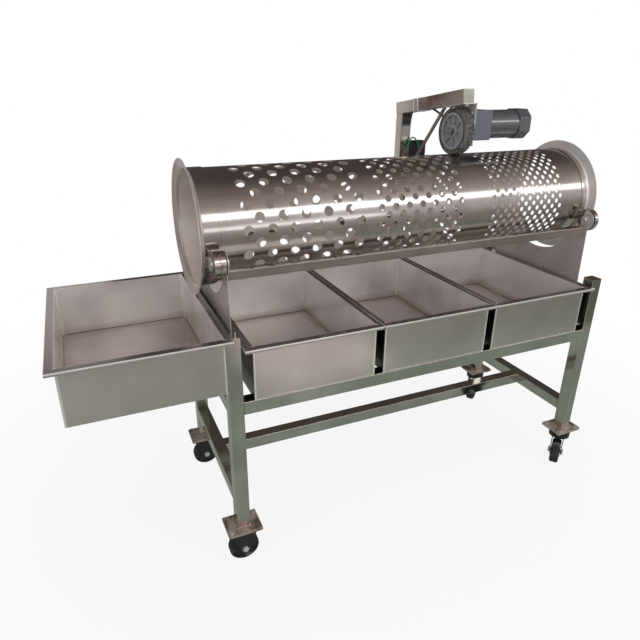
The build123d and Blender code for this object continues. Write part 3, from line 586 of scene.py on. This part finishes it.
def turned(name, middle, axis, radius, width, steps, edge, sides=72, bore=False, shoulder=0.0):
    """A turned piece with sloped shoulders; each step insets both ends, then pushes them out or in."""
    bpy.ops.object.select_all(action="DESELECT")
    bpy.ops.mesh.primitive_cylinder_add(vertices=sides, radius=radius, depth=width - 2 * shoulder)
    piece = bpy.context.active_object
    piece.name = name
    for end in (1, -1):
        select_faces(piece, lambda face: face.normal.z * end > 0.9 and len(face.vertices) == sides)
        if shoulder:
            bpy.ops.mesh.inset(thickness=shoulder, depth=shoulder)
        for inset, push in steps:
            bpy.ops.mesh.inset(thickness=inset)
            if push:
                bpy.ops.mesh.extrude_region_move(TRANSFORM_OT_translate={"value": (0, 0, end * push)})
        bpy.ops.object.mode_set(mode="OBJECT")
    if bore:
        select_faces(piece, lambda face: abs(face.normal.z) > 0.9 and len(face.vertices) == sides)
        bore_through()
        bpy.ops.object.mode_set(mode="OBJECT")
    bevel = piece.modifiers.new("edges", "BEVEL")
    bevel.width = edge
    bevel.segments = 2
    bevel.limit_method = "ANGLE"
    bevel.angle_limit = math.radians(40)
    bpy.ops.object.modifier_apply(modifier="edges")
    turn = Vector((0, 0, 1)).rotation_difference(Vector(axis))
    piece.matrix_world = Matrix.Translation(middle) @ turn.to_matrix().to_4x4()
    bpy.ops.object.transform_apply(location=True, rotation=True, scale=True)
    smooth(35)
    return piece


def join(pieces):
    """Makes several pieces one, which is the first of them."""
    bpy.ops.object.select_all(action="DESELECT")
    for piece in pieces:
        piece.select_set(True)
    bpy.context.view_layer.objects.active = pieces[0]
    if len(pieces) > 1:
        bpy.ops.object.join()


fork_black = paint("fork_black", shade(34, 35, 38), shade(74, 72, 70), 0.3)
wheel_black = black_rubber("wheel_black", 0.55)
bolt_steel = bright_steel("bolt_steel", shade(236, 233, 229))
dress(rounded("rigid_forks", radius=0.0006), fork_black)
head_radius = 0.0365
head_height = 0.0118
head_drop = 0.006
head_steps = ((0.004, 0.0), (0.002, -0.002))
for node in ("swivel_fork_front", "swivel_fork_back"):
    turn_joint = next(joint for joint in frame["joints"] if joint["child"] == body_of[node])
    fork = rounded(node, radius=0.0006)
    head_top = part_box(node)[1].z
    head_middle = Vector((turn_joint["pos_m"][0], turn_joint["pos_m"][1], head_top - head_drop))
    head = turned(node + "_head", head_middle, (0, 0, 1), head_radius, head_height, head_steps, edge=0.003)
    select_faces(head, lambda face: face.normal.z < -0.9 and face.center.z < head_middle.z - 0.003)
    bpy.ops.transform.resize(value=(0.8, 0.8, 1), center_override=head_middle)
    bpy.ops.object.mode_set(mode="OBJECT")
    join([fork, head])
    dress(fork, fork_black)
for node in ("rigid_axles", "swivel_axle_front", "swivel_axle_back"):
    dress(rounded(node, radius=0.0006), bolt_steel)
caster_radius = 0.046
caster_width = 0.0316
caster_steps = ((0.002, 0.0), (0.002, -0.003), (0.013, 0.0), (0.002, 0.004), (0.0096, 0.0), (0.006, 0.0))
for joint in frame["joints"]:
    if not joint["name"].startswith("caster_wheel"):
        continue
    node = joint["child"]
    wheel = turned(
        node + "_shown",
        Vector(joint["pos_m"]),
        joint["axis"],
        caster_radius,
        caster_width,
        caster_steps,
        edge=0.0016,
        bore=True,
        shoulder=0.005,
    )
    dress(wheel, wheel_black)
    stand_for(wheel, node)

# Trays: boxes folded from bright satin stainless sheet, with a flat rim and a turned-down lip all
# round. Their corners are welded and ground, which leaves pale lines; the floors are darker and
# brownish along their edges, and the floors' joints are brown. Light and shade are painted on them:
# a painted shade on the end walls that face each other across the gaps between the row trays, a
# painted highlight along the lip's top with a greyer band below it, rims painted darker as a
# painted reflection, and inside walls and floors given tones for how each tray is lit, with the
# floors under the drum lighter than the outlet's.


def tray_steel(name, node, rims, end_wall_painted_shade, wall_tone_and_painted_light, floor_tone_and_painted_light):
    """Satin sheet with pale ground welds in one tray's corners, and painted light: a painted shade on the outer
    end walls, a painted highlight on the lip, a rim darkened as a painted reflection, and wall and floor tones set
    for how the tray is lit; rims are left, right and side.
    """
    low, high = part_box(node)
    left_wall, right_wall = low.x + rims[0], high.x - rims[1]
    front_wall, back_wall = low.y + rims[2], high.y - rims[2]
    material, shader, place = surface(name, {})
    x, y, z = axes_of(place)
    in_end = (right_wall - left_wall) / 2 - abs(x - (left_wall + right_wall) / 2)
    in_side = (back_wall - front_wall) / 2 - abs(y - (front_wall + back_wall) / 2)
    from_end, from_side, from_floor = abs(in_end), abs(in_side), z - low.z
    corner = x.reckon("MAXIMUM", from_end, from_side)
    nearer = x.reckon("MINIMUM", from_end, from_side)
    joint = x.reckon("MAXIMUM", from_floor, nearer)
    depth = x.reckon("MINIMUM", in_end, in_side)
    inside = ramp(depth, 0.0006, 0.0012)
    on_rim = 1 - ramp(depth, -0.0012, -0.0006)
    reach = x.reckon("MINIMUM", x - low.x, y - low.y)
    lip = on_rim * (1 - ramp(reach, 0.0008, 0.0014))
    # Painted shade: the outer end walls, which face each other across the gaps between the boxes.
    end_wall_shade_mask = 1 - ramp(from_end + on_rim + inside, 0.0004, 0.0008)
    cloud = noise(place, scale=5.0, detail=4.0)
    fog = noise(place, scale=16.0, detail=4.0)
    lines = noise(stretched(place, (3.0, 3.0, 300.0)), scale=1.0, detail=3.0)
    grain = (lines - 0.5) * (1 - inside)
    wobble = (fog - 0.5) * 0.02
    colour = blend(ramp(cloud, 0.3, 0.7), shade(212, 205, 202), shade(226, 220, 217))
    # Painted light: the inside walls are lightened, and the floors below are toned for how each tray is lit.
    colour = blend(inside, colour, blend(ramp(cloud, 0.3, 0.6), shade(222, 214, 212), wall_tone_and_painted_light))
    on_floor = inside * (1 - ramp(from_floor, 0.0022, 0.003))
    colour = blend(on_floor, colour, blend(ramp(cloud, 0.3, 0.7) * 0.25, floor_tone_and_painted_light, shade(236, 222, 217)))
    # Darker and brownish along the floor's edges, within a few centimetres of the walls.
    darker_floor_edges = inside * (1 - ramp(joint + wobble, 0.004, 0.035)) * 0.35
    colour = blend(darker_floor_edges, colour, shade(168, 146, 134))
    weld = 1 - ramp(corner + wobble * 0.2, 0.003, 0.0075)
    colour = blend(weld * 0.8, colour, shade(246, 242, 239))
    seam = inside * (1 - ramp(joint + wobble * 0.3, 0.002, 0.005)) * ramp(fog, 0.36, 0.56)
    colour = blend(seam * 0.85, colour, shade(96, 74, 60))
    # The rim is painted darker than the sheet around it, a painted reflection.
    colour = blend(on_rim, colour, shade(176, 173, 172))
    # Painted highlight along the lip's top, with a painted shade in the greyer band below it.
    lip_highlight = ramp(z, high.z - 0.006, high.z - 0.001)
    colour = blend(lip, colour, blend(lip_highlight, shade(156, 151, 147), shade(248, 244, 241)))
    blend(end_wall_shade_mask, colour, end_wall_painted_shade).into(shader, "Base Color")
    (0.95 - inside * 0.4 - lip * 0.5 - weld * 0.2).into(shader, "Metallic")
    (0.2 + inside * 0.06 + grain * 0.08 + (weld + darker_floor_edges) * 0.12).into(shader, "Roughness")
    relief(grain, strength=0.03, depth=0.0005).into(shader, "Normal")
    return material


side_rim = 0.021
end_rim = 0.026
joint_rim = 0.013
outlet_tab = 0.0385
# Tones for end walls, inside walls and floors, with painted light: the row trays get a dark painted shade on their
# end walls and floors lightened against the drum's shade; the outlet, in the open, gets pale end walls and darker
# floors.
row_tones_and_painted_light = (shade(92, 88, 85), shade(252, 248, 247), shade(212, 201, 198))
outlet_tones_and_painted_light = (shade(216, 210, 207), shade(250, 245, 243), shade(150, 138, 134))
tray_looks = {
    "tray_coarse": ((end_rim, joint_rim, side_rim), *row_tones_and_painted_light),
    "tray_medium": ((joint_rim, joint_rim, side_rim), *row_tones_and_painted_light),
    "tray_fine": ((joint_rim, end_rim, side_rim), *row_tones_and_painted_light),
    "outlet_tray": ((side_rim, outlet_tab, side_rim), *outlet_tones_and_painted_light),
}
for node, looks in tray_looks.items():
    dress(rounded(node, radius=0.0006), tray_steel(node + "_sheet", node, *looks))

# Cradle: sheet end plates with round ears, standing on the side rails, joined by two thin tubes
# of polished stainless.

plate_finish, shader, place = surface("plate_finish", {"Metallic": 0.45})
cloud = noise(place, scale=6.0, detail=5.0)
lines = noise(stretched(place, (300.0, 300.0, 3.0)), scale=1.0, detail=3.0)
blend(ramp(cloud, 0.3, 0.7), shade(188, 179, 175), shade(204, 196, 192)).into(shader, "Base Color")
(0.24 + ramp(cloud, 0.4, 0.75) * 0.16).into(shader, "Roughness")
relief(lines, strength=0.04, depth=0.0005).into(shader, "Normal")
for node in ("end_plate_left", "end_plate_right"):
    dress(rounded(node, radius=0.0005), plate_finish)
rail_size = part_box("cradle_rail_front")[1].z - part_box("cradle_rail_front")[0].z
rail_corner = 0.0018
for node in ("cradle_rail_front", "cradle_rail_back"):
    dress(rounded_tube(node, rail_size, rail_corner), tube_lines["X"])

# Rollers: ball bearings on a stub axle through each ear, two side by side at the left end and one
# at the right. Their rings are ground steel, with a little brownish oil on them.

bearing_finish, shader, place = surface("bearing_finish", {"Metallic": 1.0})
cloud = noise(place, scale=60.0, detail=4.0)
blend(ramp(cloud, 0.5, 0.7), shade(206, 199, 193), shade(150, 122, 100)).into(shader, "Base Color")
(0.1 + cloud * 0.16).into(shader, "Roughness")
bearing_width = 0.015
bearing_gap = 0.0008
bearing_steps = ((0.006, -0.001), (0.009, 0.001), (0.0075, 0.0))
for node in ("roller_front_left", "roller_front_right", "roller_back_left", "roller_back_right"):
    low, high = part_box(node)
    middle = (low + high) / 2
    rings = []
    for number in range(round((high.x - low.x) / bearing_width)):
        ring = turned(
            f"{node}_{number}",
            Vector((low.x + (number + 0.5) * bearing_width, middle.y, middle.z)),
            (1, 0, 0),
            (high.z - low.z) / 2,
            bearing_width - bearing_gap,
            bearing_steps,
            edge=0.0011,
            bore=True,
        )
        rings.append(ring)
    join(rings)
    rings[0].name = node + "_shown"
    dress(rings[0], bearing_finish)
    stand_for(rings[0], node)
dress(rounded("roller_axles", radius=0.0005), bolt_steel)

# Drum: mirror-polished stainless sheet rolled into a tube, with round holes in three sizes,
# plain rings at the ends and under the drive, and flared rims ground matte. It is dull inside,
# and fine lines go round it near its ends. The left flare is painted darker than the right, a
# painted shade for how each is lit.


def flare_steel(name, darker, lighter):
    """Ground matte sheet; darker and lighter are its tones, set per flare as a lit or a shaded copy."""
    material, shader, place = surface(name, {"Metallic": 0.6})
    cloud = noise(place, scale=11.0, detail=5.0)
    grit = noise(place, scale=320.0, detail=2.0)
    blend(ramp(cloud, 0.3, 0.7), darker, lighter).into(shader, "Base Color")
    (0.22 + cloud * 0.22).into(shader, "Roughness")
    relief(grit, strength=0.06, depth=0.0004).into(shader, "Normal")
    return material


drum_sheet = 0.002
drum_inside = (drum_high.z - drum_low.z) / 2 - drum_sheet
drum_left = drum_low.x
drum_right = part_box("screen_fine")[1].x
line_stations = (drum_left + 0.002, drum_left + 0.012, drum_left + 0.021, drum_right - 0.002)
drum_finish, shader, place = surface("drum_finish", {})
lines = noise(stretched(place, (700.0, 6.0, 6.0)), scale=1.0, detail=3.0)
dents = noise(place, scale=5.0, detail=2.0)
cloud = noise(place, scale=9.0, detail=4.0)
x, y, z = axes_of(place)
from_axis = place.node("CombineXYZ", {}, {1: y - drum_middle.y, 2: z - drum_middle.z})
radius = place.node("VectorMath", {"operation": "LENGTH"}, {0: from_axis}, "Value")
outside = ramp(radius, drum_inside + 0.0004, drum_inside + 0.0012)
on_line = sum(ramp(abs(x - station), 0.0014, 0.0005) for station in line_stations)
polished = blend(ramp(cloud, 0.3, 0.7), shade(196, 190, 187), shade(214, 210, 207))
polished = blend(on_line * 0.16, polished, shade(120, 110, 102))
dull = blend(ramp(cloud, 0.3, 0.7), shade(206, 194, 190), shade(228, 218, 214))
blend(outside, dull, polished).into(shader, "Base Color")
(0.25 + outside * 0.75).into(shader, "Metallic")
mirror = 0.09 + lines * 0.09 + ramp(cloud, 0.5, 0.8) * 0.06
(0.5 + outside * (mirror - 0.5)).into(shader, "Roughness")
relief(dents, strength=0.12, depth=0.004).into(shader, "Normal")
# Painted light: the two flares share one finish, with darker tones at the left as painted shade and lighter ones
# at the right.
flare_shaded_and_lit = {
    "flare_ring_left": flare_steel("left_flare_painted_shade", shade(196, 183, 179), shade(226, 216, 212)),
    "flare_ring_right": flare_steel("right_flare_painted_light", shade(226, 220, 217), shade(240, 236, 234)),
}
screens = ("screen_coarse", "screen_medium", "screen_fine")
plain_rings = ("drive_band", "raceway_left", "raceway_right")
for node in screens + plain_rings:
    dress(frame["nodes"][node], drum_finish)
for node, flare_finish in flare_shaded_and_lit.items():
    dress(frame["nodes"][node], flare_finish)

# Drive wheel: a dark rubber tyre with a worn block tread on a grey cast hub with ribs, held on
# the gear motor's shaft by a nut.

tyre_rubber, shader, place = surface("tyre_rubber", {})
cloud = noise(place, scale=30.0, detail=4.0)
specks = noise(place, scale=230.0, detail=3.0)
colour = blend(ramp(cloud, 0.35, 0.7), shade(54, 54, 54), shade(78, 76, 75))
blend(ramp(specks, 0.52, 0.62) * 0.75, colour, shade(150, 140, 130)).into(shader, "Base Color")
(0.6 + cloud * 0.2).into(shader, "Roughness")
relief(specks, strength=0.4, depth=0.0008).into(shader, "Normal")

low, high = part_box("drive_tyre")
wheel_middle = (low + high) / 2
wheel_width = high.x - low.x
tyre_radius = (high.z - low.z) / 2
tread_depth = 0.0018
tread_gap = 0.0009
tyre_steps = ((0.004, 0.0), (0.002, -0.0012), (0.0062, 0.0))
tyre = turned(
    "drive_tyre_shown",
    (0, 0, 0),
    (0, 0, 1),
    tyre_radius - tread_depth,
    wheel_width,
    tyre_steps,
    edge=0.0012,
    sides=60,
    bore=True,
)


def on_tread(face):
    off_axis = Vector((face.center.x, face.center.y, 0)).length
    return abs(face.normal.z) < 0.1 and off_axis > tyre_radius - 0.004


bpy.ops.object.mode_set(mode="EDIT")
for cut in (-1 / 6, 1 / 6):
    bpy.ops.mesh.select_all(action="SELECT")
    bpy.ops.mesh.bisect(plane_co=(0, 0, cut * wheel_width), plane_no=(0, 0, 1))
select_faces(tyre, on_tread)
bpy.ops.mesh.inset(thickness=tread_gap, use_individual=True)
bpy.ops.transform.shrink_fatten(value=tread_depth * 0.95)
bpy.ops.object.mode_set(mode="OBJECT")
tyre.matrix_world = Matrix.Translation(wheel_middle) @ Matrix.Rotation(math.radians(90), 4, "Y")
bpy.ops.object.transform_apply(location=True, rotation=True, scale=True)
dress(tyre, tyre_rubber)
stand_for(tyre, "drive_tyre")

hub_grey = paint("hub_grey", shade(134, 134, 139), shade(186, 184, 180), 0.3, coat=0.6)
low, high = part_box("drive_hub")
hub_radius = (high.z - low.z) / 2 - 0.0002
hub_width = wheel_width - 0.002
hub_steps = ((0.0055, 0.0), (0.0015, -0.010), (0.0285, 0.0), (0.001, 0.009), (0.0101, 0.0))
hub = turned(
    "drive_hub_shown",
    wheel_middle,
    (1, 0, 0),
    hub_radius,
    hub_width,
    hub_steps,
    edge=0.0008,
    bore=True,
)
hub_pieces = [hub]
rib_count = 8
rib_size = (0.009, 0.004, 0.030)
rib_inset = 0.0075
rib_radius = 0.0345
for number in range(rib_count):
    for side in (-1, 1):
        rib = block("rib", rib_size)
        bevel = rib.modifiers.new("edges", "BEVEL")
        bevel.width = 0.0012
        bevel.segments = 2
        bpy.ops.object.modifier_apply(modifier="edges")
        turn = Matrix.Rotation(2 * math.pi * number / rib_count, 4, "X")
        step = Matrix.Translation((side * (wheel_width / 2 - rib_inset), 0, rib_radius))
        rib.matrix_world = Matrix.Translation(wheel_middle) @ turn @ step
        bpy.ops.object.transform_apply(location=True, rotation=True, scale=True)
        hub_pieces.append(rib)
join(hub_pieces)
smooth(35)
dress(hub, hub_grey)
stand_for(hub, "drive_hub")
dress(rounded("drive_shaft", radius=0.0006), bright_steel("shaft_steel", shade(96, 93, 90)))

# Gear motor: a square cast gearbox, a round motor and a fan cover with cut corners, all sprayed
# slate grey, bolted to a bent bracket.

slate = paint("slate_paint", shade(93, 97, 106), shade(126, 130, 138), 0.3)
slate_dark = paint("slate_dark", shade(66, 68, 74), shade(84, 86, 92), 0.3, coat=1.0)
dress(rounded("gearbox", radius=0.0012), slate)
dress(frame["nodes"]["motor_body"], slate_dark)
dress(rounded("fan_cover", radius=0.0012), slate_dark)
dress(rounded("motor_bracket", radius=0.0006), plate_finish)
dress(rounded("motor_bolts", radius=0.0005), bolt_steel)

# Arm, post and brace: polished square tube, the arm lying on the post's sloped end and stiffened
# by a thin flat bar. Two white nylon ties round the arm hold the motor's cable against it.

dress(rounded_tube("drive_arm", tube_size, tube_corner), tube_lines["Y"])
dress(rounded_tube("drive_post", tube_size, tube_corner), tube_lines["Z"])
dress(rounded("post_brackets", radius=0.0006), tube_lines["Z"])
dress(rounded("arm_brace", radius=0.0006), rusty_steel("brace_brown", shade(158, 144, 134), 0.68))

nylon, shader, place = surface("nylon", {"Roughness": 0.45})
mottle = noise(place, scale=120.0, detail=2.0)
blend(mottle, shade(206, 202, 196), shade(232, 229, 224)).into(shader, "Base Color")
arm_low, arm_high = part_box("drive_arm")
arm_middle = (arm_low + arm_high) / 2
arm_tilt = math.radians(-7.5)
cable_side = 0.0101
tie_wall = 0.0012
tie_slack = 0.0026
tie_size = (tube_size + cable_side + tie_slack, 0.0045, tube_size + tie_slack)


def long_corner(one, two):
    return abs(one.y - two.y) > tie_size[1] / 2 and abs(one.z) > tie_size[2] / 2 - 0.0002


for name, back in (("tie_front", 0.054), ("tie_back", 0.078)):
    tie = square_ring(name, tie_size, tie_wall, 1)
    select_edges(tie, long_corner)
    bpy.ops.mesh.bevel(offset=0.002, segments=3, affect="EDGES", clamp_overlap=True)
    smooth(40)
    spot = arm_middle + Vector((cable_side / 2, math.cos(arm_tilt) * back, math.sin(arm_tilt) * back))
    tie.matrix_world = Matrix.Translation(spot) @ Matrix.Rotation(arm_tilt, 4, "X")
    bpy.ops.object.transform_apply(location=True, rotation=True, scale=True)
    dress(tie, nylon)
    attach(tie, "frame")

# Box and leads: a moulded black box on the post, the motor's black cable, which runs along the arm
# into the box's top, and the green earth lead looped over the box's front.


def lead(node, points, radius, material):
    """A free lead along the CAD lead's route, whose points are in millimetres."""
    curve = bpy.data.curves.new(node + "_shown", "CURVE")
    curve.dimensions = "3D"
    curve.bevel_depth = radius
    curve.bevel_resolution = 4
    curve.resolution_u = 8
    curve.use_fill_caps = True
    spline = curve.splines.new("NURBS")
    spline.points.add(len(points) - 1)
    spots = [Vector(point) / 1000 for point in points]
    for point, spot in zip(spline.points, spots):
        point.co = (*spot, 1.0)
    spline.order_u = 3
    spline.use_endpoint_u = True
    piece = bpy.data.objects.new(node + "_shown", curve)
    bpy.context.scene.collection.objects.link(piece)
    dress(piece, material)
    stand_for(piece, node)


box_black = paint("box_black", shade(40, 41, 44), shade(70, 70, 72), 0.5)
cable_black = black_rubber("cable_black", 0.1)
lead_green = paint("lead_green", shade(20, 140, 88), shade(60, 160, 118), 0.35)
dress(rounded("junction_box", radius=0.001), box_black)
cable_route = (
    (504.42, 42.49, 1228.3),
    (504.42, 87.49, 1228.3),
    (459.42, 120.49, 1232.3),
    (426.42, 154.49, 1264.3),
    (416.42, 192.49, 1279.3),
    (416.42, 238.04, 1273.3),
    (416.42, 299.04, 1264.3),
    (416.42, 299.04, 1153.79),
)
earth_route = (
    (398.42, 276.04, 1129.79),
    (400.42, 273.04, 1145.79),
    (408.42, 270.04, 1167.79),
    (424.42, 270.04, 1167.79),
    (442.42, 273.04, 1145.79),
    (446.42, 276.04, 1129.79),
)
lead("motor_cable", cable_route, 0.0035, cable_black)
lead("earth_lead", earth_route, 0.0025, lead_green)
